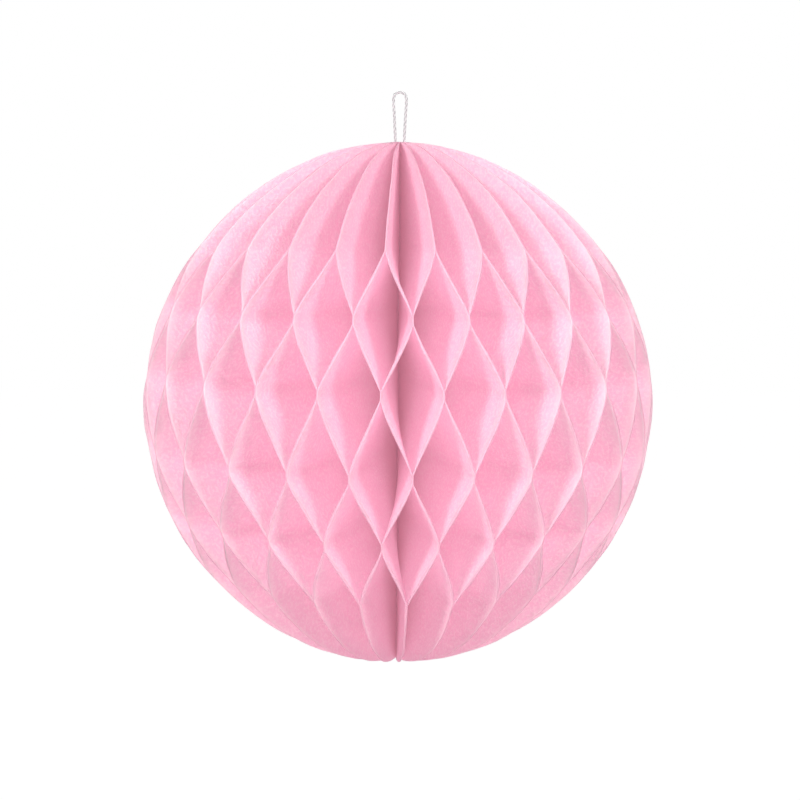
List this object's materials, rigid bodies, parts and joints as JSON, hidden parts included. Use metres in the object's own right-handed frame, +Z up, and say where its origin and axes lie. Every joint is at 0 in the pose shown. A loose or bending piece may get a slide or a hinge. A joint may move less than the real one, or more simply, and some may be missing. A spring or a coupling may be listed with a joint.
{
  "type": "honeycomb paper ball",
  "caption": "Round hanging decoration of glued tissue leaves fanned out into a ball of open diamond cells, with a short loop of twisted cord at the top.",
  "frame": {"origin": "the point inside the top of the cord's loop that bears on a hook; the ball hangs below it", "axes": "+Z up along the ball's spine, +X to the right in the pictured view, which looks along +Y"},
  "size_m": [0.1949, 0.195, 0.2193],
  "materials": {
    "tissue_paper": "matt pale pink tissue paper with fine pale fibres",
    "cotton_cord": "matt white twisted cotton"
  },
  "bodies": {
    "root": {"honeycomb_paper": "tissue_paper", "hanging_cord": "cotton_cord"}
  },
  "joints": []
}
